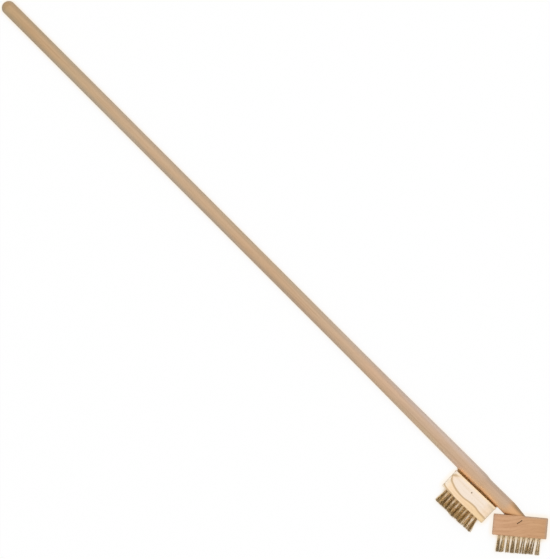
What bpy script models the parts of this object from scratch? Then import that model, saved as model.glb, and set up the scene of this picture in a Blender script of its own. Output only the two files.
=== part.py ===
# Long-handled weed brush: a round wooden handle with an angled wire head on its end, and a
# second head of the same pattern lying loose beside the handle. Metres, +Z up.
# Everything lies on z = 0 as it does on a table. X runs along the handle towards the fitted
# head, and the bristles of both heads point towards -Y. The origin is on the table, under the
# middle of the fitted head's side face.

import math

import bmesh
import bpy
from mathutils import Matrix, Vector

# Handle, from its domed top to the end of the tenon that the fitted head sits on
grip_length = 0.880
flare_length = 0.315
swell_length = 0.025
neck_length = 0.017
collar_length = 0.058
tenon_length = 0.0439
grip_radius = 0.0127
swell_radius = 0.0145
neck_radius = 0.0130
shoulder_radius = 0.0137
tenon_end_radius = 0.0090
tenon_chamfer = 0.0010

# Head block, the same for both heads
block_length = 0.0985
block_height = 0.0380  # back face to bristle face
block_thickness = 0.0300
block_edge_radius = 0.0015

# Slanted socket for the tenon in the block's back face
socket_angle = math.radians(39.8)  # between the handle and the back face
socket_offset = 0.0083  # from the block's middle to where the handle's axis crosses the back face
socket_floor = 0.0030  # wood left between the socket and the tuft holes

# Wire tufts, in rows along the block and columns across it
tuft_rows = 3
tuft_columns = 9
row_pitch = 0.0085
column_pitch = 0.0091
tuft_radius = 0.0026
tuft_hole_depth = 0.0105
fitted_bristle_length = 0.0297
spare_bristle_length = 0.0265
strands_per_tuft = 9
strand_inset = 0.0002
strand_tip_share = 0.8  # a strand's width at its tip, as a share of its width at the block
fitted_spread = 1.45  # how far a tuft opens from the block to its tip
spare_spread = 1.25
fitted_lean = math.radians(2.5)  # of the outermost tufts, away from the middle
spare_lean = math.radians(9.0)  # of the tuft nearest the fitted head, towards it

# Staple that pins the fitted head to its tenon
staple_crown = 0.0128
staple_leg = 0.0180
staple_wire = 0.0014
staple_sink = 0.0006
staple_from_back = 0.0112
staple_offset = -0.0017  # from the block's middle, along it
staple_turn = math.radians(10.4)  # off square to the handle

# Pilot hole that waits in the spare head for its pin
pilot_radius = 0.0010
pilot_depth = 0.0040
pilot_from_back = 0.0103
pilot_offset = -0.0014

# Spare head's place beside the handle
spare_turn = math.radians(1.44)
handle_gap = 0.0030  # at the nearest point
heads_gap = 0.0037  # between the two heads, along the handle

# Clearance between pieces that touch, and how far a cutter runs past the face it opens
fit_gap = 0.0003
cutter_overrun = 0.0020

# Facets
handle_sides = 40
dome_steps = 7
flare_steps = 8
neck_steps = 5
hole_sides = 12
edge_segments = 3
sharp_edge_angle = math.radians(35)

# Colours and finish: colour, roughness, metallic
handle_finish = ((0.66, 0.45, 0.27), 0.55, 0.0)
fitted_wood_finish = ((0.64, 0.36, 0.20), 0.60, 0.0)
spare_wood_finish = ((0.90, 0.77, 0.58), 0.60, 0.0)
wire_finish = ((0.36, 0.27, 0.12), 0.40, 0.9)
staple_finish = ((0.25, 0.16, 0.09), 0.45, 0.9)

# Worked out from the sizes above
handle_length = grip_length + flare_length + swell_length + neck_length + collar_length + tenon_length
tenon_seat = (
    (block_height - tuft_hole_depth - socket_floor - (tenon_end_radius + fit_gap) * math.cos(socket_angle))
    / math.sin(socket_angle) - fit_gap
)
handle_reach = handle_length - tenon_seat  # domed top to the block's back face, along the axis
handle_tilt = math.asin((block_thickness / 2 - grip_radius) / (handle_reach - grip_radius))


def material(name, finish):
    colour, roughness, metallic = finish
    made = bpy.data.materials.new(name)
    made.use_nodes = True
    shader = made.node_tree.nodes["Principled BSDF"]
    shader.inputs["Base Color"].default_value = (*colour, 1.0)
    shader.inputs["Roughness"].default_value = roughness
    shader.inputs["Metallic"].default_value = metallic
    made.diffuse_color = (*colour, 1.0)
    return made


def mesh_from(bm, name):
    mesh = bpy.data.meshes.new(name)
    bm.to_mesh(mesh)
    bm.free()
    return mesh


def smooth_walls(bm):
    """Shades the four-sided walls of round cutters smooth and leaves their caps flat."""
    for face in bm.faces:
        face.smooth = len(face.verts) == 4


def add_piece(name, mesh, finish, parent=None, place=None):
    piece = bpy.data.objects.new(name, mesh)
    bpy.context.collection.objects.link(piece)
    piece.parent = parent
    piece.matrix_basis = place or Matrix.Identity(4)
    mesh.materials.clear()
    mesh.materials.append(finish)
    return piece


def add_cutter(name, mesh, parent=None, place=None):
    cutter = bpy.data.objects.new(name, mesh)
    bpy.context.collection.objects.link(cutter)
    cutter.parent = parent
    cutter.matrix_basis = place or Matrix.Identity(4)
    cutter.hide_render = True
    cutter.display_type = "WIRE"
    return cutter


def add_frame(name, place):
    frame = bpy.data.objects.new(name, None)
    bpy.context.collection.objects.link(frame)
    frame.matrix_basis = place
    frame.empty_display_size = block_height
    return frame


def cut(piece, cutter):
    boolean = piece.modifiers.new("cut_" + cutter.name, "BOOLEAN")
    boolean.operation = "DIFFERENCE"
    boolean.solver = "EXACT"
    boolean.object = cutter


def ease(share):
    return share * share * (3 - 2 * share)


def handle_radius(along):
    """Radius of the handle at a distance from its domed top."""
    if along < grip_radius:
        return math.sqrt(max(0.0, grip_radius ** 2 - (grip_radius - along) ** 2))
    flare = (along - grip_length) / flare_length
    if flare < 1:
        return grip_radius + (swell_radius - grip_radius) * ease(max(0.0, flare))
    neck = (along - grip_length - flare_length - swell_length) / neck_length
    if neck < 1:
        return swell_radius + (neck_radius - swell_radius) * ease(max(0.0, neck))
    taper = (along - handle_length + tenon_length) / tenon_length
    if taper < 0:
        return shoulder_radius + (shoulder_radius - neck_radius) * taper * tenon_length / collar_length
    return shoulder_radius + (tenon_end_radius - shoulder_radius) * taper


def handle_stations():
    """Distances from the domed top at which the turned profile has a ring."""
    stations = [grip_radius * (1 - math.cos(math.pi / 2 * step / dome_steps)) for step in range(dome_steps + 1)]
    stations += [grip_length + flare_length * step / flare_steps for step in range(flare_steps + 1)]
    neck_start = grip_length + flare_length + swell_length
    stations += [neck_start + neck_length * step / neck_steps for step in range(neck_steps + 1)]
    stations += [handle_length - tenon_length, handle_length - tenon_chamfer]
    return stations


def handle_mesh():
    bm = bmesh.new()
    profile = [(handle_radius(along), along) for along in handle_stations()]
    profile.append((tenon_end_radius - tenon_chamfer, handle_length))
    profile.append((0.0, handle_length))
    points = [bm.verts.new((radius, 0.0, along)) for radius, along in profile]
    edges = [bm.edges.new(pair) for pair in zip(points, points[1:])]
    bmesh.ops.spin(
        bm, geom=points + edges, cent=(0, 0, 0), axis=(0, 0, 1),
        angle=math.tau, steps=handle_sides, use_merge=True,
    )
    bmesh.ops.remove_doubles(bm, verts=bm.verts[:], dist=1e-6)
    bmesh.ops.recalc_face_normals(bm, faces=bm.faces[:])
    mesh = mesh_from(bm, "handle")
    mesh.shade_smooth()
    mesh.set_sharp_from_angle(angle=sharp_edge_angle)
    return mesh


def socket_cutter_mesh():
    """The tenon and its clearance, in the handle's own frame."""
    bm = bmesh.new()
    depth = tenon_length + fit_gap
    bmesh.ops.create_cone(
        bm, cap_ends=True, segments=handle_sides, depth=depth,
        radius1=shoulder_radius + fit_gap, radius2=tenon_end_radius + fit_gap,
    )
    bmesh.ops.translate(bm, verts=bm.verts[:], vec=(0, 0, handle_length + fit_gap - depth / 2))
    smooth_walls(bm)
    return mesh_from(bm, "socket_cutter")


def block_mesh():
    bm = bmesh.new()
    bmesh.ops.create_cube(bm, size=1)
    bmesh.ops.scale(bm, verts=bm.verts[:], vec=(block_length, block_height, block_thickness))
    rounded = bmesh.ops.bevel(
        bm, geom=bm.edges[:], offset=block_edge_radius, offset_type="OFFSET",
        segments=edge_segments, profile=0.5, affect="EDGES", material=-1,
    )["faces"]
    for face in rounded:
        face.smooth = True
    return mesh_from(bm, "head_block")


def tuft_places():
    """Row, column and place on the bristle face of each tuft, in the head's frame."""
    for row in range(tuft_rows):
        for column in range(tuft_columns):
            across = (row - (tuft_rows - 1) / 2) * row_pitch
            along = (column - (tuft_columns - 1) / 2) * column_pitch
            yield row, column, Vector((along, -block_height / 2, across))


# A tuft or a tuft hole is made standing on +Z, which this turns to the head's -Y.
out_of_bristle_face = Matrix.Rotation(math.pi / 2, 4, "X")


def tuft_hole_cutter_mesh():
    bm = bmesh.new()
    depth = tuft_hole_depth + cutter_overrun
    centre = Matrix.Translation((0, 0, (cutter_overrun - tuft_hole_depth) / 2))
    hole_radius = (tuft_radius + fit_gap) / math.cos(math.pi / hole_sides)
    for _, _, place in tuft_places():
        bmesh.ops.create_cone(
            bm, cap_ends=True, segments=hole_sides, radius1=hole_radius, radius2=hole_radius,
            depth=depth, matrix=Matrix.Translation(place) @ out_of_bristle_face @ centre,
        )
    smooth_walls(bm)
    return mesh_from(bm, "tuft_hole_cutter")


def tuft_mesh(name, length, spread, lean):
    """A bundle of wire folded into its hole, with its strands standing out of the block."""
    bm = bmesh.new()
    root_depth = tuft_hole_depth - fit_gap
    bmesh.ops.create_cone(
        bm, cap_ends=True, segments=strands_per_tuft, radius1=tuft_radius, radius2=tuft_radius,
        depth=root_depth, matrix=Matrix.Translation((0, 0, -root_depth / 2)),
    )
    top = max(bm.faces, key=lambda face: face.calc_center_median().z)
    wedges = bmesh.ops.poke(bm, faces=[top])["faces"]
    bmesh.ops.inset_individual(bm, faces=wedges, thickness=strand_inset, use_even_offset=True)
    strands = bmesh.ops.extrude_discrete_faces(bm, faces=wedges)["faces"]
    out = Vector((math.sin(lean), 0, math.cos(lean))) * length
    for strand in strands:
        foot = strand.calc_center_median()
        for corner in strand.verts:
            corner.co = foot * spread + (corner.co - foot) * strand_tip_share + out
    return mesh_from(bm, name)


def staple_mesh(name, gap, rise, point):
    """A square-wire staple, its crown along X with the top at z = 0 and its legs down."""
    outside = staple_crown / 2 + gap
    inside = staple_crown / 2 - staple_wire - gap
    under = -staple_wire - gap
    tip = -staple_leg - gap
    outline = [
        (-outside, rise), (-outside, tip), (-inside, tip + point), (-inside, under),
        (inside, under), (inside, tip + point), (outside, tip), (outside, rise),
    ]
    width = staple_wire + 2 * gap
    bm = bmesh.new()
    side = bm.faces.new([bm.verts.new((x, -width / 2, z)) for x, z in outline])
    swept = bmesh.ops.extrude_face_region(bm, geom=[side])["geom"]
    moved = [part for part in swept if isinstance(part, bmesh.types.BMVert)]
    bmesh.ops.translate(bm, verts=moved, vec=(0, width, 0))
    bmesh.ops.recalc_face_normals(bm, faces=bm.faces[:])
    return mesh_from(bm, name)


def on_side_face(offset, from_back, sink):
    """A place on a head's upper side face, in the head's frame."""
    return Matrix.Translation((offset, block_height / 2 - from_back, block_thickness / 2 - sink))


def pilot_cutter_mesh():
    bm = bmesh.new()
    depth = pilot_depth + cutter_overrun
    bmesh.ops.create_cone(
        bm, cap_ends=True, segments=hole_sides, radius1=pilot_radius, radius2=pilot_radius, depth=depth,
    )
    bmesh.ops.translate(bm, verts=bm.verts[:], vec=(0, 0, (cutter_overrun - pilot_depth) / 2))
    smooth_walls(bm)
    return mesh_from(bm, "pilot_cutter")


def block_corners(place):
    """The four corners of a block's outline on the table, seen from above."""
    signs = ((-1, -1), (1, -1), (1, 1), (-1, 1))
    return [place @ Vector((x * block_length / 2, y * block_height / 2, 0)) for x, y in signs]


def fitted_place():
    return Matrix.Translation((0, 0, block_thickness / 2)) @ Matrix.Rotation(socket_angle, 4, "Z")


def socket_mouth(place):
    return place @ Vector((-socket_offset, block_height / 2, 0))


def handle_place(place):
    """The handle's frame, with its axis on Z and its domed top at the origin."""
    turn = Matrix.Rotation(math.pi / 2 - handle_tilt, 4, "Y")
    top = socket_mouth(place) - turn @ Vector((0, 0, handle_reach))
    return Matrix.Translation(top) @ turn


def spare_place(fitted, handle):
    """Beside the handle, behind the fitted head, with handle_gap left at the nearest point."""
    turn = Matrix.Rotation(spare_turn, 4, "Z")
    limit = min(corner.x for corner in block_corners(fitted)) - heads_gap
    middle_x = limit - max(corner.x for corner in block_corners(turn))
    axis_y = socket_mouth(fitted).y
    middle_y = axis_y
    steps = 40
    for step in range(steps + 1):
        back = turn @ Vector(((step / steps - 0.5) * block_length, block_height / 2, 0))
        along = middle_x + back.x - handle.translation.x
        middle_y = min(middle_y, axis_y - handle_radius(along) - handle_gap - back.y)
    return Matrix.Translation((middle_x, middle_y, block_thickness / 2)) @ turn


def add_tufts(prefix, frame, finish, length, spread, lean_of):
    meshes = {}
    for row, column, place in tuft_places():
        if column not in meshes:
            meshes[column] = tuft_mesh(f"{prefix}_tuft_c{column + 1}", length, spread, lean_of(column))
        add_piece(
            f"{prefix}_tuft_r{row + 1}_c{column + 1}", meshes[column], finish, frame,
            Matrix.Translation(place) @ out_of_bristle_face,
        )


def lean_of_fitted(column):
    middle = (tuft_columns - 1) / 2
    return fitted_lean * (column - middle) / middle


def lean_of_spare(column):
    return spare_lean * (column / (tuft_columns - 1)) ** 3


def build():
    for old in list(bpy.data.objects):
        bpy.data.objects.remove(old, do_unlink=True)

    handle_wood = material("handle_wood", handle_finish)
    fitted_wood = material("fitted_head_wood", fitted_wood_finish)
    spare_wood = material("spare_head_wood", spare_wood_finish)
    wire = material("coated_wire", wire_finish)
    staple_steel = material("staple_steel", staple_finish)

    at_fitted = fitted_place()
    at_handle = handle_place(at_fitted)
    at_spare = spare_place(at_fitted, at_handle)
    fitted_head = add_frame("fitted_head", at_fitted)
    spare_head = add_frame("spare_head", at_spare)
    handle_in_head = at_fitted.inverted() @ at_handle

    handle = add_piece("handle", handle_mesh(), handle_wood, place=at_handle)
    fitted_block = add_piece("fitted_head_block", block_mesh(), fitted_wood, fitted_head)
    spare_block = add_piece("spare_head_block", block_mesh(), spare_wood, spare_head)

    socket_cutter = socket_cutter_mesh()
    tuft_hole_cutter = tuft_hole_cutter_mesh()
    for block, frame in ((fitted_block, fitted_head), (spare_block, spare_head)):
        cut(block, add_cutter(frame.name + "_socket_cutter", socket_cutter, frame, handle_in_head))
        cut(block, add_cutter(frame.name + "_tuft_hole_cutter", tuft_hole_cutter, frame))

    crown_turn = Matrix.Rotation(math.pi / 2 - staple_turn - socket_angle, 4, "Z")
    staple_in_head = on_side_face(staple_offset, staple_from_back, staple_sink) @ crown_turn
    add_piece("tenon_staple", staple_mesh("tenon_staple", 0, 0, staple_wire), staple_steel,
              fitted_head, staple_in_head)
    pocket = staple_mesh("staple_pocket", fit_gap, staple_sink + cutter_overrun, 0)
    pocket_cutter = add_cutter("staple_pocket", pocket, fitted_head, staple_in_head)
    cut(fitted_block, pocket_cutter)
    cut(handle, pocket_cutter)

    cut(spare_block, add_cutter("pilot_cutter", pilot_cutter_mesh(), spare_head,
                                on_side_face(pilot_offset, pilot_from_back, 0)))

    add_tufts("fitted", fitted_head, wire, fitted_bristle_length, fitted_spread, lean_of_fitted)
    add_tufts("spare", spare_head, wire, spare_bristle_length, spare_spread, lean_of_spare)


build()
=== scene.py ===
import math
import random

import bmesh
import bpy
from mathutils import Matrix, Vector


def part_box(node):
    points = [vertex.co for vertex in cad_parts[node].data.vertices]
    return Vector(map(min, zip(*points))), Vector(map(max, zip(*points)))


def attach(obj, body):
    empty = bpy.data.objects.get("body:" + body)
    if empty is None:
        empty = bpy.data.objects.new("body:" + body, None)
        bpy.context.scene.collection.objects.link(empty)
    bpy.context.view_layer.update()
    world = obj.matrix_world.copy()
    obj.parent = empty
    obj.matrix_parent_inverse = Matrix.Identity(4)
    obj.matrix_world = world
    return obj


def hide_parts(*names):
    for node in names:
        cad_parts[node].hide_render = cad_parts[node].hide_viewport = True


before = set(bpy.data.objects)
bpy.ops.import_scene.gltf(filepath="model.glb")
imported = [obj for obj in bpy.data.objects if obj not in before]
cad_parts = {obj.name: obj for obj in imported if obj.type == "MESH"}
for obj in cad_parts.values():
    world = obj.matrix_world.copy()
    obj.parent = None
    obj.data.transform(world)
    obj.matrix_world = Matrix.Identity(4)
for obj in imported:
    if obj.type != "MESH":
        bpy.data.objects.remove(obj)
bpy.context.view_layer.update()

mm = 0.001
weld = 0.001 * mm   # points nearer than this are one point


# Where the pieces lie: sizes and angles as in the part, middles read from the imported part

layout = {
    "socketAngle": math.radians(39.8),  # between the handle and a head's back face
    "socketOffset": 8.3 * mm,           # from a block's middle to where the handle's axis enters
    "spareTurn": math.radians(1.44),    # the spare head lies a little askew
    "blockLength": 98.5 * mm,
    "blockHeight": 38.0 * mm,           # back face to bristle face
    "blockThickness": 30.0 * mm,
}


def middleOf(node):
    low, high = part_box(node)
    return (low + high) / 2


fittedPlace = (Matrix.Translation(middleOf("fitted_head_block"))
               @ Matrix.Rotation(layout["socketAngle"], 4, "Z"))
sparePlace = (Matrix.Translation(middleOf("spare_head_block"))
              @ Matrix.Rotation(layout["spareTurn"], 4, "Z"))
print("frame read")


# Helpers for meshes

def meshFrom(bm, name):
    mesh = bpy.data.meshes.new(name)
    bm.to_mesh(mesh)
    bm.free()
    return mesh


def addPiece(name, mesh, body, material, node):
    piece = bpy.data.objects.new(name, mesh)
    bpy.context.scene.collection.objects.link(piece)
    mesh.materials.clear()
    mesh.materials.append(material)
    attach(piece, body)
    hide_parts(node)


def cutAway(mesh, cutters):
    # leaves a mesh with the cuts made, and no modifier or cutter behind
    blank = bpy.data.objects.new("blank", mesh)
    bpy.context.scene.collection.objects.link(blank)
    tools = []
    for cutter in cutters:
        tool = bpy.data.objects.new("tool", cutter)
        bpy.context.scene.collection.objects.link(tool)
        tools.append(tool)
        cut = blank.modifiers.new("cut", "BOOLEAN")
        cut.operation = "DIFFERENCE"
        cut.solver = "EXACT"
        cut.object = tool
    bpy.context.view_layer.update()
    graph = bpy.context.evaluated_depsgraph_get()
    finished = bpy.data.meshes.new_from_object(blank.evaluated_get(graph))
    for spent in [blank] + tools:
        bpy.data.objects.remove(spent, do_unlink=True)
    bm = bmesh.new()
    bm.from_mesh(finished)
    bmesh.ops.remove_doubles(bm, verts=bm.verts[:], dist=weld)
    bm.to_mesh(finished)
    bm.free()
    return finished


# Helpers for materials

def newMaterial(name, roughness, metallic=0.0):
    material = bpy.data.materials.new(name)
    material.use_nodes = True
    shader = material.node_tree.nodes["Principled BSDF"]
    shader.inputs["Roughness"].default_value = roughness
    shader.inputs["Metallic"].default_value = metallic
    return material, material.node_tree, shader


def mathNode(tree, operation, first, second=None):
    node = tree.nodes.new("ShaderNodeMath")
    node.operation = operation
    for socket, value in zip(node.inputs, (first, second)):
        if value is None:
            continue
        if isinstance(value, (int, float)):
            socket.default_value = value
        else:
            tree.links.new(value, socket)
    return node.outputs[0]


def product(tree, *factors):
    result = factors[0]
    for factor in factors[1:]:
        result = mathNode(tree, "MULTIPLY", result, factor)
    return result


def localPoint(tree, place):
    # Object coordinates turned into a piece's own axes, from the middle of the piece
    coordinates = tree.nodes.new("ShaderNodeTexCoord")
    mapping = tree.nodes.new("ShaderNodeMapping")
    mapping.vector_type = "TEXTURE"
    mapping.inputs["Location"].default_value = place.translation
    mapping.inputs["Rotation"].default_value = place.to_euler()
    tree.links.new(coordinates.outputs["Object"], mapping.inputs["Vector"])
    return mapping.outputs["Vector"]


def split(tree, vector):
    parts = tree.nodes.new("ShaderNodeSeparateXYZ")
    tree.links.new(vector, parts.inputs[0])
    return parts.outputs["X"], parts.outputs["Y"], parts.outputs["Z"]


def curveThrough(tree, value, points):
    node = tree.nodes.new("ShaderNodeFloatCurve")
    curve = node.mapping.curves[0]
    while len(curve.points) < len(points):
        curve.points.new(0.5, 0.5)
    for spot, place in zip(curve.points, points):
        spot.location = place
    node.mapping.update()
    tree.links.new(value, node.inputs["Value"])
    return node.outputs[0]


def remap(tree, value, low, high, toLow=0.0, toHigh=1.0, smooth=False):
    node = tree.nodes.new("ShaderNodeMapRange")
    node.interpolation_type = "SMOOTHSTEP" if smooth else "LINEAR"
    node.inputs["From Min"].default_value = low
    node.inputs["From Max"].default_value = high
    node.inputs["To Min"].default_value = toLow
    node.inputs["To Max"].default_value = toHigh
    tree.links.new(value, node.inputs["Value"])
    return node.outputs["Result"]


def rise(tree, value, edges, top=1.0):
    # from 0 at the first edge, smoothly up to top at the second
    return remap(tree, value, edges[0], edges[1], 0.0, top, True)


def fade(tree, value, edges, top=1.0):
    # from top at the first edge, smoothly down to 0 at the second
    return remap(tree, value, edges[0], edges[1], top, 0.0, True)


def mixColour(tree, factor, first, second, blend="MIX"):
    node = tree.nodes.new("ShaderNodeMix")
    node.data_type = "RGBA"
    node.blend_type = blend
    sockets = {"factor": node.inputs[0], "first": node.inputs[6], "second": node.inputs[7]}
    for key, value in (("factor", factor), ("first", first), ("second", second)):
        if isinstance(value, (int, float)):
            sockets[key].default_value = value
        elif isinstance(value, tuple):
            sockets[key].default_value = (*value, 1.0)
        else:
            tree.links.new(value, sockets[key])
    return node.outputs[2]


def ramp(tree, factor, stops):
    node = tree.nodes.new("ShaderNodeValToRGB")
    elements = node.color_ramp.elements
    while len(elements) < len(stops):
        elements.new(0.5)
    for element, (position, colour) in zip(elements, stops):
        element.position = position
        element.color = (*colour, 1.0)
    tree.links.new(factor, node.inputs["Fac"])
    return node.outputs["Color"]


def figure(tree, vector, look):
    # noise, stretched where a look says how much finer it is along each axis
    if "stretch" in look:
        mapping = tree.nodes.new("ShaderNodeMapping")
        mapping.inputs["Scale"].default_value = look["stretch"]
        tree.links.new(vector, mapping.inputs["Vector"])
        vector = mapping.outputs["Vector"]
    node = tree.nodes.new("ShaderNodeTexNoise")
    node.inputs["Scale"].default_value = look.get("scale", 1.0)
    node.inputs["Detail"].default_value = look["detail"]
    node.inputs["Roughness"].default_value = look.get("roughness", 0.5)
    node.inputs["Distortion"].default_value = look.get("distortion", 0.0)
    tree.links.new(vector, node.inputs["Vector"])
    return node.outputs["Fac"]


def darkened(tree, base, pattern, look):
    tones = ramp(tree, pattern, look["tones"])
    return mixColour(tree, look["share"], base, tones, "MULTIPLY")


def addBump(tree, shader, height, look):
    node = tree.nodes.new("ShaderNodeBump")
    node.inputs["Distance"].default_value = look["bumpDepth"]
    node.inputs["Strength"].default_value = look["bumpStrength"]
    tree.links.new(height, node.inputs["Height"])
    tree.links.new(node.outputs["Normal"], shader.inputs["Normal"])


def seenRays(tree):
    # 1 for what the camera sees straight on, in a gloss or through glass
    rays = tree.nodes.new("ShaderNodeLightPath")
    seen = mathNode(tree, "MAXIMUM", rays.outputs["Is Camera Ray"], rays.outputs["Is Glossy Ray"])
    return mathNode(tree, "MAXIMUM", seen, rays.outputs["Is Transmission Ray"])


# Camera, floor and light

studio = {
    "photoWidth": 550,
    "photoHeight": 559,
    "metresPerPixel": 1.81 * mm,
    "frameMiddle": Vector((-0.6296, 0.00235, 15 * mm)),
    "cameraDistance": 28.0,
    "cameraTurn": math.radians(45),
    "sensorWidth": 36.0,                   # in millimetres, as a camera's settings have it
    "clipStart": 0.1,
    "clipEnd": 100.0,
    "floorSize": 60.0,
    "floorColour": (0.86, 0.86, 0.86),
    "floorGlow": 0.92,                     # share of the paper's look that shade doesn't darken
    "white": (1.0, 1.0, 1.0),
    "bounceTint": (                            # painted bounce light: the paper's warm tint by openness, near wood and wire
        (0.50, (1.0, 0.90, 0.77)),
        (0.80, (1.0, 0.95, 0.88)),
        (1.00, (1.0, 1.0, 1.0)),
    ),
    "shadeRays": 32,
    "shadeReach": 9 * mm,                  # how near a piece must be to shade the paper
    "slitColour": (1.0, 0.62, 0.22),       # of the little light that comes back out of the slit
    "slitOpenness": (0.62, 0.76),          # shade is full at the first, gone at the second
    "slitStart": (-4 * mm, -2 * mm),       # behind the spare block's back face
    "slitEnd": (5 * mm, 8 * mm),
    "slitFade": 3 * mm,                    # past the block's two ends
    # painted shade: the paper among each head's wires, brown as if shaded under them
    "wireShadeTints": {"fitted": (0.74, 0.56, 0.34), "spare": (0.53, 0.35, 0.165)},
    "wiresStart": (-2 * mm, 0.0),          # from a block's bristle face
    "wiresEnd": (26 * mm, 32 * mm),
    "wiresSide": (37 * mm, 44 * mm),       # from a block's middle
    "wiresOpenness": (0.97, 0.50),         # no tint at the first, full tint at the second
    "skyStrength": 0.5,
    "lampAim": Vector((-0.6, 0, 0)),
    "lampSize": 3.0,
    "lamps": {                             # place, power in watts
        "softLampRight": (Vector((-0.6, 3.2, 7.0)), 193.0),
        "softLampLeft": (Vector((-0.6, -3.2, 7.0)), 129.0),
    },
}


def buildCamera():
    data = bpy.data.cameras.new("camera")
    camera = bpy.data.objects.new("camera", data)
    bpy.context.scene.collection.objects.link(camera)
    bpy.context.scene.camera = camera
    data.type = "PERSP"
    data.sensor_fit = "AUTO"
    data.sensor_width = studio["sensorWidth"]
    longSide = max(studio["photoWidth"], studio["photoHeight"]) * studio["metresPerPixel"]
    data.lens = data.sensor_width * studio["cameraDistance"] / longSide
    data.clip_start = studio["clipStart"]
    data.clip_end = studio["clipEnd"]
    camera.location = studio["frameMiddle"] + Vector((0, 0, studio["cameraDistance"]))
    camera.rotation_euler = (0, 0, studio["cameraTurn"])


def slitShade(tree, openness):
    # the paper goes dark in the slit between the spare block and the handle
    lengthways, across, upward = split(tree, localPoint(tree, sparePlace))
    fromBack = mathNode(tree, "SUBTRACT", across, layout["blockHeight"] / 2)
    acrossSlit = product(tree, rise(tree, fromBack, studio["slitStart"]),
                         fade(tree, fromBack, studio["slitEnd"]))
    blockEnd = layout["blockLength"] / 2
    alongSlit = fade(tree, mathNode(tree, "ABSOLUTE", lengthways),
                     (blockEnd, blockEnd + studio["slitFade"]))
    darkness = fade(tree, openness, studio["slitOpenness"])
    return product(tree, darkness, acrossSlit, alongSlit)


def shadeUnderWires(tree, openness, paperTint, head, place):
    # painted shade on the paper among a head's wires, where they close over it
    lengthways, across, upward = split(tree, localPoint(tree, place))
    fromFace = mathNode(tree, "SUBTRACT", -layout["blockHeight"] / 2, across)
    fromMiddle = mathNode(tree, "ABSOLUTE", lengthways)
    amongWires = product(tree, remap(tree, fromFace, *studio["wiresStart"]),
                         remap(tree, fromFace, *studio["wiresEnd"], 1.0, 0.0),
                         remap(tree, fromMiddle, *studio["wiresSide"], 1.0, 0.0))
    closed = remap(tree, openness, *studio["wiresOpenness"])
    return mixColour(tree, product(tree, amongWires, closed), paperTint, studio["wireShadeTints"][head])


def whitePaper(tree):
    # a white paper for the camera: mostly its own glow, and the rest takes the object's shadow
    crevice = tree.nodes.new("ShaderNodeAmbientOcclusion")
    crevice.inputs["Distance"].default_value = studio["shadeReach"]
    crevice.samples = studio["shadeRays"]
    openness = crevice.outputs["AO"]
    lit = mathNode(tree, "SUBTRACT", 1.0, slitShade(tree, openness))
    shaded = tree.nodes.new("ShaderNodeBsdfDiffuse")
    tree.links.new(mixColour(tree, lit, studio["slitColour"], studio["white"]), shaded.inputs["Color"])
    # painted bounce light: the paper's glow turns warm near wood and wire
    tint = ramp(tree, openness, studio["bounceTint"])
    for head, place in (("fitted", fittedPlace), ("spare", sparePlace)):
        tint = shadeUnderWires(tree, openness, tint, head, place)
    glow = tree.nodes.new("ShaderNodeEmission")  # a strength of 1 is white
    tree.links.new(tint, glow.inputs["Color"])
    paper = tree.nodes.new("ShaderNodeMixShader")
    tree.links.new(product(tree, lit, studio["floorGlow"]), paper.inputs["Fac"])
    tree.links.new(shaded.outputs[0], paper.inputs[1])
    tree.links.new(glow.outputs[0], paper.inputs[2])
    return paper.outputs[0]


def buildFloor():
    bm = bmesh.new()
    bmesh.ops.create_grid(bm, x_segments=1, y_segments=1, size=studio["floorSize"] / 2)
    floor = bpy.data.objects.new("floor", meshFrom(bm, "floor"))
    bpy.context.scene.collection.objects.link(floor)
    material = bpy.data.materials.new("floorPaper")
    material.use_nodes = True
    tree = material.node_tree
    tree.nodes.clear()
    output = tree.nodes.new("ShaderNodeOutputMaterial")
    plainPaper = tree.nodes.new("ShaderNodeBsdfDiffuse")  # what the lamps and the object see
    plainPaper.inputs["Color"].default_value = (*studio["floorColour"], 1.0)
    choose = tree.nodes.new("ShaderNodeMixShader")
    tree.links.new(seenRays(tree), choose.inputs["Fac"])
    tree.links.new(plainPaper.outputs[0], choose.inputs[1])
    tree.links.new(whitePaper(tree), choose.inputs[2])
    tree.links.new(choose.outputs[0], output.inputs["Surface"])
    floor.data.materials.append(material)


def buildLight():
    scene = bpy.context.scene
    scene.view_settings.view_transform = "Standard"
    world = bpy.data.worlds.new("studio")
    scene.world = world
    world.use_nodes = True
    tree = world.node_tree
    background = tree.nodes["Background"]
    background.inputs["Color"].default_value = (*studio["white"], 1.0)
    strength = remap(tree, seenRays(tree), 0.0, 1.0, studio["skyStrength"], 1.0)
    tree.links.new(strength, background.inputs["Strength"])
    for name, (place, power) in studio["lamps"].items():
        data = bpy.data.lights.new(name, "AREA")
        data.shape = "DISK"
        data.size = studio["lampSize"]
        data.energy = power
        lamp = bpy.data.objects.new(name, data)
        scene.collection.objects.link(lamp)
        lamp.location = place
        lamp.rotation_euler = (studio["lampAim"] - place).to_track_quat("-Z", "Y").to_euler()


buildCamera()
buildFloor()
buildLight()
print("studio built")


# Handle

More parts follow.
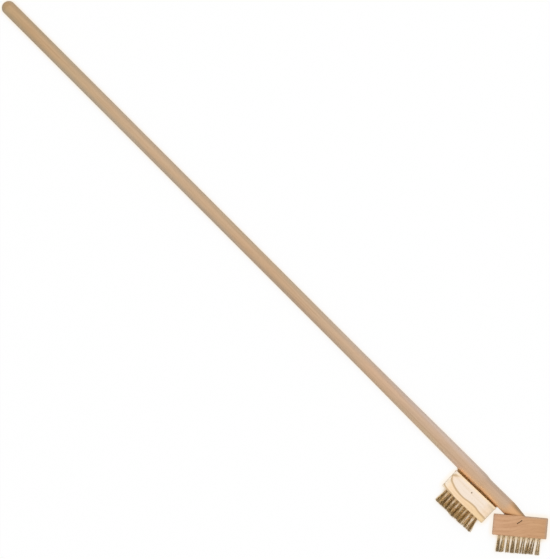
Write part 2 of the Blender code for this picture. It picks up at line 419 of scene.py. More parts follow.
handleSizes = {
    "gripLength": 880 * mm,
    "flareLength": 315 * mm,
    "swellLength": 25 * mm,
    "neckLength": 17 * mm,
    "collarLength": 58 * mm,
    "tenonLength": 43.9 * mm,
    "gripRadius": 12.7 * mm,
    "swellRadius": 14.5 * mm,
    "neckRadius": 13.0 * mm,
    "shoulderRadius": 13.7 * mm,
    "tenonEndRadius": 9.0 * mm,
    "tenonChamfer": 1.0 * mm,
    "sides": 96,
    "domeSteps": 20,
    "gripSteps": 22,
    "flareSteps": 24,
    "swellSteps": 2,
    "neckSteps": 12,
    "collarSteps": 4,
    "tenonSteps": 4,
    "sharpAngle": math.radians(20),
}
handleParts = ("grip", "flare", "swell", "neck", "collar", "tenon")
handleLength = sum(handleSizes[part + "Length"] for part in handleParts)
taperStart = handleLength - handleSizes["tenonLength"]
collarStart = taperStart - handleSizes["collarLength"]
handleMouth = fittedPlace @ Vector((-layout["socketOffset"], layout["blockHeight"] / 2, 0))


def findHandlePlace():
    # the domed top and the mouth of the fitted block's socket are known, so the axis runs between them
    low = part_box("handle")[0]
    top = Vector((low.x, handleMouth.y, handleSizes["gripRadius"]))
    axis = handleMouth - top
    return Matrix.Translation(top) @ axis.to_track_quat("Z", "X").to_matrix().to_4x4()


handlePlace = findHandlePlace()


def ease(share):
    share = min(1.0, max(0.0, share))
    return share * share * (3 - 2 * share)


def handleRadius(along):
    sizes = handleSizes
    if along < sizes["gripRadius"]:
        return math.sqrt(max(0.0, sizes["gripRadius"] ** 2 - (sizes["gripRadius"] - along) ** 2))
    flare = (along - sizes["gripLength"]) / sizes["flareLength"]
    if flare < 1:
        return sizes["gripRadius"] + (sizes["swellRadius"] - sizes["gripRadius"]) * ease(flare)
    neckStart = sizes["gripLength"] + sizes["flareLength"] + sizes["swellLength"]
    neck = (along - neckStart) / sizes["neckLength"]
    if neck < 1:
        return sizes["swellRadius"] + (sizes["neckRadius"] - sizes["swellRadius"]) * ease(neck)
    collar = (along - neckStart - sizes["neckLength"]) / sizes["collarLength"]
    if collar < 1:
        return sizes["neckRadius"] + (sizes["shoulderRadius"] - sizes["neckRadius"]) * collar
    taper = (along - handleLength + sizes["tenonLength"]) / sizes["tenonLength"]
    return sizes["shoulderRadius"] + (sizes["tenonEndRadius"] - sizes["shoulderRadius"]) * taper


def handleStations():
    sizes = handleSizes
    marks = [sizes["gripRadius"] * (1 - math.cos(math.pi / 2 * step / sizes["domeSteps"]))
             for step in range(sizes["domeSteps"] + 1)]

    def run(start, length, steps):
        return [start + length * (step + 1) / steps for step in range(steps)]

    start = marks[-1]
    marks += run(start, sizes["gripLength"] - start, sizes["gripSteps"])
    start = sizes["gripLength"]
    for part in handleParts[1:]:
        length = sizes[part + "Length"]
        if part == "tenon":
            length -= sizes["tenonChamfer"]
        marks += run(start, length, sizes[part + "Steps"])
        start += length
    return marks


def handleMesh():
    bm = bmesh.new()
    profile = [(handleRadius(along), along) for along in handleStations()]
    profile.append((handleSizes["tenonEndRadius"] - handleSizes["tenonChamfer"], handleLength))
    profile.append((0.0, handleLength))
    points = [bm.verts.new((radius, 0.0, along)) for radius, along in profile]
    edges = [bm.edges.new(pair) for pair in zip(points, points[1:])]
    bmesh.ops.spin(bm, geom=points + edges, cent=(0, 0, 0), axis=(0, 0, 1),
                   angle=math.tau, steps=handleSizes["sides"], use_merge=True)
    bmesh.ops.remove_doubles(bm, verts=bm.verts[:], dist=weld)
    bmesh.ops.recalc_face_normals(bm, faces=bm.faces[:])
    bmesh.ops.transform(bm, matrix=handlePlace, verts=bm.verts[:])
    mesh = meshFrom(bm, "turnedHandle")
    mesh.shade_smooth()
    mesh.set_sharp_from_angle(angle=handleSizes["sharpAngle"])
    return mesh


# In the handle's looks, "across" runs sideways from its axis, with the spare head on the plus side.
# "along" runs from its domed top, and "taper" and "collar" places count from where those start.
handleLook = {
    "colours": (                       # by share of the length
        (0.00, (0.496, 0.323, 0.158)),
        (0.25, (0.541, 0.379, 0.228)),
        (0.52, (0.541, 0.346, 0.192)),
        (0.77, (0.575, 0.405, 0.270)),
        (0.92, (0.544, 0.370, 0.237)),
    ),
    "patches": {
        "stretch": (30, 30, 9),
        "detail": 2.0,
        "from": 0.35,
        "to": 0.65,
        "tint": (1.04, 0.97, 0.92),
    },
    "streaks": {
        "stretch": (420, 420, 9),
        "detail": 4.0,
        "roughness": 0.6,
        "tones": ((0.3, (0.80, 0.76, 0.70)), (0.5, (1.0, 1.0, 1.0))),
        "share": 0.7,
    },
    "pores": {
        "stretch": (1900, 1900, 70),
        "detail": 2.0,
        "tones": ((0.28, (0.62, 0.52, 0.42)), (0.40, (1.0, 1.0, 1.0))),
        "share": 0.45,
    },
    # painted sheen: a cool grey cast along the far side, where the round handle turns down
    "farSideSheen": {
        "across": (-2 * mm, -10.5 * mm),
        "tints": (                     # by share of the length
            (0.00, (0.935, 1.045, 1.24)),
            (0.34, (0.940, 1.045, 1.22)),
            (0.42, (0.975, 1.130, 1.31)),
            (0.54, (0.985, 1.140, 1.33)),
            (0.63, (1.030, 1.180, 1.42)),
            (0.72, (0.980, 1.120, 1.38)),
            (0.78, (0.960, 1.050, 1.25)),
            (0.83, (1.000, 1.120, 1.32)),
            (0.90, (1.030, 1.130, 1.33)),
            (0.94, (1.000, 1.080, 1.25)),
        ),
    },
    # painted sheen along the near side, as on the far side
    "nearSideSheen": {
        "across": (3 * mm, 9.5 * mm),
        "tints": (
            (0.00, (0.90, 1.02, 1.20)),
            (0.55, (0.90, 1.02, 1.20)),
            (0.59, (0.93, 1.03, 1.18)),
            (0.67, (0.93, 1.00, 1.06)),
            (0.72, (0.96, 1.02, 1.04)),
            (0.78, (0.95, 1.00, 0.96)),
            (0.83, (0.97, 1.03, 0.94)),
            (0.88, (1.00, 1.00, 1.00)),
        ),
    },
    "warmSide": {                      # the light that the spare head throws back
        "tint": (1.47, 1.42, 1.12),
        "rays": 16,
        "reach": 40 * mm,
        "floorShare": 0.9,             # of what a point facing down has near it
        "covered": (0.01, 0.36),
        "power": 0.6,
        "collar": (-72 * mm, -46 * mm),
    },
    "litEdge": {"tint": (1.16, 1.20, 1.34), "across": (5 * mm, 11 * mm), "along": (0.95, 1.15)},
    # painted highlight on the far side of the swell
    "swellHighlight": {
        "tint": (1.14, 1.17, 1.26),
        "across": (-2 * mm, -10 * mm),
        "starts": (0.95, 1.12),
        "ends": (1.18, 1.24),
    },
    "taperTone": {"colour": (0.70, 0.375, 0.16), "taper": (-14 * mm, 4 * mm), "share": 0.92},
    "taperShade": {
        "colour": (0.30, 0.185, 0.09),
        "across": (-3.5 * mm, -10.5 * mm),
        "taper": (-14 * mm, 10 * mm),
        "share": 0.9,
    },
    # painted contact shadow on the handle, along the fitted block's back face where the taper goes in
    "jointShadow": {
        "colour": (0.25, 0.115, 0.03),
        "fromBlock": (0.5 * mm, 4.5 * mm),
        "across": (-6 * mm, 9 * mm),
        "shares": (0.12, 0.95),
    },
    "roughness": 0.5,
    "bumpDepth": 0.4 * mm,
    "bumpStrength": 0.35,
}


def besideSpareHead(tree, look, lengthways):
    # how much of what a point faces is the spare head: all that is near it, less its share of the floor
    nearness = tree.nodes.new("ShaderNodeAmbientOcclusion")
    nearness.samples = look["rays"]
    nearness.inputs["Distance"].default_value = look["reach"]
    facing = tree.nodes.new("ShaderNodeNewGeometry")
    upright = split(tree, facing.outputs["Normal"])[2]
    byFloor = remap(tree, upright, -1.0, 1.0, look["floorShare"], 0.0)
    covered = mathNode(tree, "SUBTRACT", 1.0, nearness.outputs["AO"])
    covered = remap(tree, mathNode(tree, "SUBTRACT", covered, byFloor), *look["covered"])
    start, full = look["collar"]
    awayFromTop = rise(tree, lengthways, (collarStart + start, collarStart + full))
    return product(tree, mathNode(tree, "POWER", covered, look["power"]), awayFromTop)


def handleSides(tree, base, sideways, lengthways, along):
    look = handleLook
    # painted sheen along both sides of the handle
    for edge in (look["farSideSheen"], look["nearSideSheen"]):
        tint = ramp(tree, along, edge["tints"])
        base = mixColour(tree, rise(tree, sideways, edge["across"]), base, tint, "MULTIPLY")
    warmth = besideSpareHead(tree, look["warmSide"], lengthways)
    base = mixColour(tree, warmth, base, look["warmSide"]["tint"], "MULTIPLY")
    edge = look["litEdge"]
    strip = product(tree, rise(tree, sideways, edge["across"]), rise(tree, lengthways, edge["along"]))
    return mixColour(tree, strip, base, edge["tint"], "MULTIPLY")


def handleTaper(tree, base, sideways, lengthways):
    look = handleLook
    tone, swellLight, shade, jointShadow = (look[key] for key in ("taperTone", "swellHighlight", "taperShade", "jointShadow"))

    def overTaper(part):
        start, full = part["taper"]
        return rise(tree, lengthways, (taperStart + start, taperStart + full), part["share"])

    base = mixColour(tree, overTaper(tone), base, tone["colour"])
    # painted highlight on the far side of the swell
    swelling = product(tree, rise(tree, sideways, swellLight["across"]),
                       rise(tree, lengthways, swellLight["starts"]), fade(tree, lengthways, swellLight["ends"]))
    base = mixColour(tree, swelling, base, swellLight["tint"], "MULTIPLY")
    farTaper = product(tree, rise(tree, sideways, shade["across"]), overTaper(shade))
    base = mixColour(tree, farTaper, base, shade["colour"])
    # painted contact shadow where the taper goes into the fitted block
    fromBlock = mathNode(tree, "SUBTRACT", split(tree, localPoint(tree, fittedPlace))[1],
                         layout["blockHeight"] / 2)
    line = product(tree, fade(tree, fromBlock, jointShadow["fromBlock"]),
                   remap(tree, sideways, *jointShadow["across"], *jointShadow["shares"]))
    return mixColour(tree, line, base, jointShadow["colour"])


def handleWood():
    look = handleLook
    material, tree, shader = newMaterial("turnedHandleWood", look["roughness"])
    point = localPoint(tree, handlePlace)
    upward, sideways, lengthways = split(tree, point)
    along = remap(tree, lengthways, 0.0, handleLength)
    base = ramp(tree, along, look["colours"])
    patches = look["patches"]
    patchShare = remap(tree, figure(tree, point, patches), patches["from"], patches["to"])
    base = mixColour(tree, patchShare, base, patches["tint"], "MULTIPLY")
    streaks = figure(tree, point, look["streaks"])
    base = darkened(tree, base, streaks, look["streaks"])
    base = darkened(tree, base, figure(tree, point, look["pores"]), look["pores"])
    base = handleSides(tree, base, sideways, lengthways, along)
    base = handleTaper(tree, base, sideways, lengthways)
    tree.links.new(base, shader.inputs["Base Color"])
    addBump(tree, shader, streaks, look)
    return material


addPiece("turnedHandle", handleMesh(), "brush", handleWood(), "handle")
print("handle built")


# Head blocks

blockSizes = {
    "edgeRadius": 1.5 * mm,
    "edgeSegments": 5,
    "holeSides": 28,
    "socketSides": 96,
    "fitGap": 0.3 * mm,
    "overrun": 2.0 * mm,           # how far a cutter stands out of the face that it cuts
    "tuftHoleDepth": 10.5 * mm,
    "tuftHoleRadius": 2.9 * mm,
    "pilotRadius": 1.0 * mm,
    "pilotDepth": 4.0 * mm,
    "pilotFromBack": 10.3 * mm,
    "pilotOffset": -1.4 * mm,
}
tuftGrid = {"rows": 3, "columns": 9, "rowPitch": 8.5 * mm, "columnPitch": 9.1 * mm}
outOfBristleFace = Matrix.Rotation(math.pi / 2, 4, "X")  # turns +Z to a block's -Y


def rowOffset(row):
    return (row - (tuftGrid["rows"] - 1) / 2) * tuftGrid["rowPitch"]


def tuftPlace(row, column):
    along = (column - (tuftGrid["columns"] - 1) / 2) * tuftGrid["columnPitch"]
    return Matrix.Translation((along, -layout["blockHeight"] / 2, rowOffset(row))) @ outOfBristleFace


def onSideFace(offset, fromBack, sink):
    return Matrix.Translation((offset, layout["blockHeight"] / 2 - fromBack,
                               layout["blockThickness"] / 2 - sink))


def blockBlank():
    bm = bmesh.new()
    bmesh.ops.create_cube(bm, size=1)
    size = (layout["blockLength"], layout["blockHeight"], layout["blockThickness"])
    bmesh.ops.scale(bm, verts=bm.verts[:], vec=size)
    rounded = bmesh.ops.bevel(bm, geom=bm.edges[:], offset=blockSizes["edgeRadius"],
                              offset_type="OFFSET", segments=blockSizes["edgeSegments"],
                              profile=0.5, affect="EDGES", material=-1)["faces"]
    for face in rounded:
        face.smooth = True
    return meshFrom(bm, "blockBlank")


def smoothWalls(bm):
    for face in bm.faces:
        face.smooth = len(face.verts) == 4


def socketCutter():
    bm = bmesh.new()
    gap = blockSizes["fitGap"]
    depth = handleSizes["tenonLength"] + gap
    bmesh.ops.create_cone(bm, cap_ends=True, segments=blockSizes["socketSides"], depth=depth,
                          radius1=handleSizes["shoulderRadius"] + gap,
                          radius2=handleSizes["tenonEndRadius"] + gap)
    bmesh.ops.translate(bm, verts=bm.verts[:], vec=(0, 0, handleLength + gap - depth / 2))
    bmesh.ops.transform(bm, matrix=fittedPlace.inverted() @ handlePlace, verts=bm.verts[:])
    smoothWalls(bm)
    return meshFrom(bm, "socketCutter")


def addDrill(bm, place, radius, depth):
    # a drill of that depth under the face at the place's origin, standing proud of it by the overrun
    sink = Matrix.Translation((0, 0, (blockSizes["overrun"] - depth) / 2))
    bmesh.ops.create_cone(bm, cap_ends=True, segments=blockSizes["holeSides"],
                          depth=depth + blockSizes["overrun"], radius1=radius, radius2=radius,
                          matrix=place @ sink)


def tuftHoleCutter():
    bm = bmesh.new()
    for row in range(tuftGrid["rows"]):
        for column in range(tuftGrid["columns"]):
            addDrill(bm, tuftPlace(row, column), blockSizes["tuftHoleRadius"], blockSizes["tuftHoleDepth"])
    smoothWalls(bm)
    return meshFrom(bm, "tuftHoleCutter")


def pilotCutter():
    bm = bmesh.new()
    place = onSideFace(blockSizes["pilotOffset"], blockSizes["pilotFromBack"], 0)
    addDrill(bm, place, blockSizes["pilotRadius"], blockSizes["pilotDepth"])
    smoothWalls(bm)
    return meshFrom(bm, "pilotCutter")


# Staple

stapleSizes = {
    "crown": 12.8 * mm,
    "leg": 18.0 * mm,
    "wire": 1.4 * mm,
    "bend": 1.4 * mm,
    "bendSteps": 6,
    "sink": 0.6 * mm,
    "fromBack": 11.2 * mm,
    "offset": -1.7 * mm,
    "turn": math.radians(10.4),
    "sides": 14,
    "slotGap": 0.15 * mm,
    "slotShare": 0.96,             # a little narrower than the groove below, so that no faces fall together
    "sharpAngle": math.radians(40),
}
staplePlace = (onSideFace(stapleSizes["offset"], stapleSizes["fromBack"], stapleSizes["sink"])
               @ Matrix.Rotation(math.pi / 2 - stapleSizes["turn"] - layout["socketAngle"], 4, "Z"))


def sweepWire(bm, radius):
    # up one leg, round the bend, along the crown and down the other leg
    # the end's edges go along with its face, so that no face is left inside the wire
    bend = stapleSizes["bend"]
    half = stapleSizes["crown"] / 2 - stapleSizes["wire"] / 2
    top = -stapleSizes["wire"] / 2
    foot = -stapleSizes["leg"] - (radius - stapleSizes["wire"] / 2)
    bmesh.ops.create_circle(bm, cap_ends=True, segments=stapleSizes["sides"], radius=radius,
                            matrix=Matrix.Translation((-half, 0, foot)))
    end = bm.verts[:] + bm.edges[:] + bm.faces[:]

    def push(vec):
        grown = bmesh.ops.extrude_face_region(bm, geom=end)["geom"]
        bmesh.ops.translate(bm, verts=[g for g in grown if isinstance(g, bmesh.types.BMVert)], vec=vec)
        end[:] = grown

    def turn(centre):
        grown = bmesh.ops.spin(bm, geom=end, cent=centre, axis=(0, 1, 0), angle=math.pi / 2,
                               steps=stapleSizes["bendSteps"])
        end[:] = grown["geom_last"]

    push((0, 0, top - bend - foot))
    turn((-half + bend, 0, top - bend))
    push((2 * (half - bend), 0, 0))
    turn((half - bend, 0, top - bend))
    push((0, 0, foot - (top - bend)))
    bmesh.ops.remove_doubles(bm, verts=bm.verts[:], dist=weld)
    bmesh.ops.recalc_face_normals(bm, faces=bm.faces[:])


def stapleMesh():
    bm = bmesh.new()
    sweepWire(bm, stapleSizes["wire"] / 2)
    bmesh.ops.transform(bm, matrix=fittedPlace @ staplePlace, verts=bm.verts[:])
    mesh = meshFrom(bm, "crownStaple")
    mesh.shade_smooth()
    mesh.set_sharp_from_angle(angle=stapleSizes["sharpAngle"])
    return mesh


def stapleCutter():
    bm = bmesh.new()
    sweepWire(bm, stapleSizes["wire"] / 2 + stapleSizes["slotGap"])
    bmesh.ops.transform(bm, matrix=staplePlace, verts=bm.verts[:])
    return meshFrom(bm, "stapleCutter")


def slotCutter():
    # opens the crown's groove to the face above it
    bm = bmesh.new()
    width = stapleSizes["wire"] + 2 * stapleSizes["slotGap"]
    length = stapleSizes["crown"] + 2 * stapleSizes["slotGap"] - width
    height = stapleSizes["wire"] / 2 + stapleSizes["sink"] + blockSizes["overrun"]
    bmesh.ops.create_cube(bm, size=1)
    bmesh.ops.scale(bm, verts=bm.verts[:], vec=(length, width * stapleSizes["slotShare"], height))
    bmesh.ops.translate(bm, verts=bm.verts[:], vec=(0, 0, height / 2 - stapleSizes["wire"] / 2))
    bmesh.ops.transform(bm, matrix=staplePlace, verts=bm.verts[:])
    return meshFrom(bm, "slotCutter")


# Wood of the head blocks. Shares run along a block from its left end, and depths in from a face.

fittedLook = {
    "grain": {"stretch": (22, 260, 260), "detail": 4.0, "roughness": 0.55, "distortion": 0.4},
    "tones": ((0.30, (0.570, 0.292, 0.158)), (0.62, (0.690, 0.385, 0.230))),
    "leftTint": (0.935, 0.955, 0.875),
    "rightTint": (0.855, 0.855, 0.68),
    "bendTop": 25,                     # mm, the most that the grain's bend may rise
    "bend": ((0.0, 13.5), (0.15, 13.0), (0.3, 11.4), (0.45, 7.6), (0.66, 2.2), (0.9, 0.0), (1.0, 0.0)),
    "flecks": {
        "stretch": (160, 1500, 1500),
        "detail": 2.0,
        "tones": ((0.30, (0.66, 0.56, 0.48)), (0.42, (1.0, 1.0, 1.0))),
        "share": 0.5,
    },
    # painted shade along the block's top edges, where they round over
    "edgeShade": (0.40, 0.29, 0.215),
    "endRim": (1.5 * mm, 5.5 * mm),
    "endRimTop": 0.65,
    "endRimShares": (0.35, 1.0),       # at the left end, at the right end
    "sideRim": (0.0, 4.0 * mm),
    "backRimTop": 0.75,
    "backRim": ((0.0, 0.5), (0.18, 0.5), (0.25, 0.0), (0.52, 0.0), (0.6, 1.0), (1.0, 1.0)),
    "roughness": 0.6,
    "bumpDepth": 0.5 * mm,
    "bumpStrength": 0.4,
}
honeyTone = (0.950, 0.715, 0.480)
spareLook = {
    "heart": (0.915, 0.775, 0.645),
    "heartEnd": (0.910, 0.715, 0.530),
    "heartTurns": (0.77, 0.93),
    "band": (                          # outside the growth ring
        (0.00, (0.905, 0.790, 0.650)),
        (0.06, (0.950, 0.790, 0.600)),
        (0.13, honeyTone),
        (0.50, (0.920, 0.665, 0.415)),
        (1.00, (0.865, 0.630, 0.345)),
    ),
    "grain": {
        "stretch": (16, 300, 300),
        "detail": 4.0,
        "roughness": 0.6,
        "distortion": 0.3,
        "tones": ((0.30, (0.93, 0.88, 0.80)), (0.55, (1.0, 1.0, 1.0))),
        "share": 0.8,
    },
    "sideDepth": (0.0, 4 * mm),
    "endShade": (0.66, 0.53, 0.36),
    "endShares": (0.93, 1.0),
    "endTop": 0.55,
    "cornerShares": (0.80, 0.94),
    "cornerDepth": (5 * mm, 12 * mm),
    "cornerTop": 0.75,
    # painted light that the handle throws back onto the block's back edge
    "backBounceLight": (1.0, 0.76, 0.48),
    "glowShares": (0.05, 0.15),
    "glowDepth": (0.0, 6 * mm),
    "glowTop": 0.9,
    # darker round the pilot hole
    "drilled": (0.42, 0.31, 0.19),
    "drilledReach": (0.9 * mm, 1.9 * mm),
    "drilledTop": 0.85,
    "roughness": 0.6,
    "bumpDepth": 0.4 * mm,
    "bumpStrength": 0.35,
}
# The pale block's growth ring lies where the wood is as deep under the back face as these say: a lower
# line, an upper one that bends back over the left end, and a shorter line beyond. Places are shares of
# the block's length and height, and distances from the ring are shares of its height.
ringLook = {
    "below": (
        (0.0, 0.26), (0.011, 0.30), (0.024, 0.36), (0.041, 0.448), (0.075, 0.52), (0.133, 0.585),
        (0.20, 0.65), (0.305, 0.702), (0.44, 0.714), (0.57, 0.671), (0.71, 0.657), (0.80, 0.702),
        (0.915, 0.733), (1.0, 0.740),
    ),
    "above": (
        (0.0, 0.38), (0.011, 0.35), (0.024, 0.30), (0.041, 0.26), (0.075, 0.23), (0.11, 0.19),
        (0.15, 0.13), (0.20, 0.05), (0.3, 0.0), (1.0, 0.0),
    ),
    "aboveShift": 0.06,
    "short": (
        (0.0, 0.652), (0.03, 0.69), (0.079, 0.721), (0.149, 0.740), (0.224, 0.751), (0.294, 0.79),
        (0.4, 0.9), (1.0, 1.0),
    ),
    "shortStretch": 1.3,
    "sideLean": 0.22,                  # how much further back the ring lies on the side underneath
    "wobble": {"stretch": (40, 90, 90), "detail": 2.0},
    "wobbleReach": 0.012,
    "bandStarts": (-0.01, 0.05),
    "honeyReach": (-0.18, 0.0),
    "honeyTop": 0.55,
    "honeyAlong": ((0.0, 1.0), (0.08, 1.0), (0.35, 0.25), (0.68, 0.25), (0.80, 0.8), (1.0, 0.8)),
    "honeyEnds": (0.0, 0.03),
    "noseShares": (0.03, 0.13),
    "noseTop": 0.6,
    "line": (0.520, 0.340, 0.155),
    "lineTop": 0.82,
    "lineCore": 0.016,
    "lineReach": ((0.0, 0.13), (0.045, 0.13), (0.09, 0.08), (0.16, 0.072), (1.0, 0.072)),
    "aboveFades": ((0.0, 0.0), (0.05, 0.1), (0.10, 0.5), (0.15, 0.8), (1.0, 0.8)),
    "shortReach": (0.014, 0.062),
    "shortTop": 0.8,
}


def lengthShare(tree, lengthways):
    return remap(tree, lengthways, -layout["blockLength"] / 2, layout["blockLength"] / 2)


def depthUnderBack(tree, across):
    return mathNode(tree, "SUBTRACT", layout["blockHeight"] / 2, across)


def depthUnderFaces(tree, coordinate, size):
    # how far in a point lies from the nearer of two opposite faces
    return mathNode(tree, "SUBTRACT", size / 2, mathNode(tree, "ABSOLUTE", coordinate))


def fittedWood():
    look = fittedLook
    material, tree, shader = newMaterial("reddishBlockWood", look["roughness"])
    point = localPoint(tree, fittedPlace)
    lengthways, across, upward = split(tree, point)
    share = lengthShare(tree, lengthways)
    rises = [(at, up / look["bendTop"]) for at, up in look["bend"]]
    bend = product(tree, curveThrough(tree, share, rises), look["bendTop"] * mm)
    bent = tree.nodes.new("ShaderNodeCombineXYZ")
    for socket, value in zip(bent.inputs, (lengthways, mathNode(tree, "ADD", across, bend), upward)):
        tree.links.new(value, socket)
    grain = figure(tree, bent.outputs[0], look["grain"])
    tint = mixColour(tree, share, look["leftTint"], look["rightTint"])
    base = mixColour(tree, 1.0, ramp(tree, grain, look["tones"]), tint, "MULTIPLY")
    base = darkened(tree, base, figure(tree, point, look["flecks"]), look["flecks"])
    toEnd = depthUnderFaces(tree, lengthways, layout["blockLength"])
    toSide = depthUnderFaces(tree, upward, layout["blockThickness"])
    # painted shade along the top face's edges
    endRim = product(tree, fade(tree, toEnd, look["endRim"], look["endRimTop"]),
                     remap(tree, share, 0.0, 1.0, *look["endRimShares"]))
    backRim = product(tree, fade(tree, depthUnderBack(tree, across), look["sideRim"], look["backRimTop"]),
                      curveThrough(tree, share, look["backRim"]))
    edgeShade = product(tree, mathNode(tree, "MAXIMUM", endRim, backRim), fade(tree, toSide, look["sideRim"]))
    base = mixColour(tree, edgeShade, base, look["edgeShade"])
    tree.links.new(base, shader.inputs["Base Color"])
    addBump(tree, shader, grain, look)
    return material


def ringColours(tree, share, depth):
    # heart wood inside the growth ring, a band outside it, and dark lines on the ring
    look = ringLook
    below = mathNode(tree, "SUBTRACT", depth, curveThrough(tree, share, look["below"]))
    above = mathNode(tree, "SUBTRACT", curveThrough(tree, share, look["above"]), depth)
    above = mathNode(tree, "SUBTRACT", above, look["aboveShift"])
    outward = mathNode(tree, "MAXIMUM", below, above)
    heart = mixColour(tree, rise(tree, share, spareLook["heartTurns"]),
                      spareLook["heart"], spareLook["heartEnd"])
    band = ramp(tree, share, spareLook["band"])
    base = mixColour(tree, rise(tree, outward, look["bandStarts"]), heart, band)
    honey = product(tree, rise(tree, outward, look["honeyReach"], look["honeyTop"]),
                    curveThrough(tree, share, look["honeyAlong"]))
    honey = mathNode(tree, "MAXIMUM", honey, fade(tree, share, look["noseShares"], look["noseTop"]))
    honey = product(tree, honey, remap(tree, outward, *look["honeyEnds"], 1.0, 0.0))
    base = mixColour(tree, honey, base, honeyTone)
    isAbove = mathNode(tree, "GREATER_THAN", above, below)
    fading = product(tree, isAbove, curveThrough(tree, share, look["aboveFades"]))
    darkness = remap(tree, fading, 0.0, 1.0, look["lineTop"], 0.0)
    offLine = mathNode(tree, "SUBTRACT", mathNode(tree, "ABSOLUTE", outward), look["lineCore"])
    reach = curveThrough(tree, share, look["lineReach"])
    offLine = mathNode(tree, "DIVIDE", offLine, mathNode(tree, "SUBTRACT", reach, look["lineCore"]))
    onLine = rise(tree, mathNode(tree, "SUBTRACT", 1.0, offLine), (0.0, 1.0))
    base = mixColour(tree, product(tree, onLine, darkness), base, look["line"])
    short = product(tree, curveThrough(tree, share, look["short"]), look["shortStretch"])
    fromShort = mathNode(tree, "ABSOLUTE", mathNode(tree, "SUBTRACT", depth, short))
    return mixColour(tree, fade(tree, fromShort, look["shortReach"], look["shortTop"]), base, look["line"])


# darker round the pilot hole
def darkerRoundPilot(tree, lengthways, across):
    look = spareLook
    aside = mathNode(tree, "SUBTRACT", lengthways, blockSizes["pilotOffset"])
    beyond = mathNode(tree, "SUBTRACT", across, layout["blockHeight"] / 2 - blockSizes["pilotFromBack"])
    squares = mathNode(tree, "ADD", product(tree, aside, aside), product(tree, beyond, beyond))
    return fade(tree, mathNode(tree, "SQRT", squares), look["drilledReach"], look["drilledTop"])


def spareWood():
    look = spareLook
    material, tree, shader = newMaterial("paleBlockWood", look["roughness"])
    point = localPoint(tree, sparePlace)
    lengthways, across, upward = split(tree, point)
    share = lengthShare(tree, lengthways)
    halfThick = layout["blockThickness"] / 2
    depth = remap(tree, across, layout["blockHeight"] / 2, -layout["blockHeight"] / 2)
    lean = remap(tree, upward, -halfThick, halfThick, ringLook["sideLean"], 0.0)
    wobble = remap(tree, figure(tree, point, ringLook["wobble"]), 0.0, 1.0,
                   -ringLook["wobbleReach"], ringLook["wobbleReach"])
    depth = mathNode(tree, "ADD", depth, mathNode(tree, "ADD", lean, wobble))
    base = ringColours(tree, share, depth)
    grain = figure(tree, point, look["grain"])
    base = darkened(tree, base, grain, look["grain"])
    onSide = fade(tree, depthUnderFaces(tree, upward, layout["blockThickness"]), look["sideDepth"])
    toBack = depthUnderBack(tree, across)
    ending = rise(tree, share, look["endShares"], look["endTop"])
    base = mixColour(tree, product(tree, ending, onSide), base, look["endShade"])
    corner = product(tree, rise(tree, share, look["cornerShares"], look["cornerTop"]),
                     fade(tree, toBack, look["cornerDepth"]))
    base = mixColour(tree, product(tree, corner, onSide), base, look["endShade"])
    # painted light that the handle throws back onto the back edge
    glow = product(tree, fade(tree, toBack, look["glowDepth"], look["glowTop"]), onSide,
                   rise(tree, share, look["glowShares"]))
    base = mixColour(tree, glow, base, look["backBounceLight"])
    base = mixColour(tree, darkerRoundPilot(tree, lengthways, across), base, look["drilled"])
    tree.links.new(base, shader.inputs["Base Color"])
    addBump(tree, shader, grain, look)
    return material


def blockMesh(name, place, cutters):
    mesh = cutAway(blockBlank(), cutters)
    mesh.transform(place)
    mesh.name = name
    return mesh


fittedCuts = [socketCutter(), tuftHoleCutter(), stapleCutter(), slotCutter()]
spareCuts = [socketCutter(), tuftHoleCutter(), pilotCutter()]
addPiece("reddishBlock", blockMesh("reddishBlock", fittedPlace, fittedCuts), "brush",
         fittedWood(), "fitted_head_block")
addPiece("paleBlock", blockMesh("paleBlock", sparePlace, spareCuts), "spare_head",
         spareWood(), "spare_head_block")
print("blocks built")

stapleLook = {
    "mottle": {"scale": 900.0, "detail": 2.0},
    "tones": ((0.3, (0.07, 0.035, 0.012)), (0.7, (0.15, 0.085, 0.035))),
    "roughness": 0.5,
    "metallic": 0.5,
}


def stapleSteel():
    look = stapleLook
    material, tree, shader = newMaterial("dulledStapleSteel", look["roughness"], look["metallic"])
    mottle = figure(tree, localPoint(tree, fittedPlace), look["mottle"])
    tree.links.new(ramp(tree, mottle, look["tones"]), shader.inputs["Base Color"])
    return material


addPiece("crownStaple", stapleMesh(), "brush", stapleSteel(), "tenon_staple")
print("staple built")


# Wire tufts

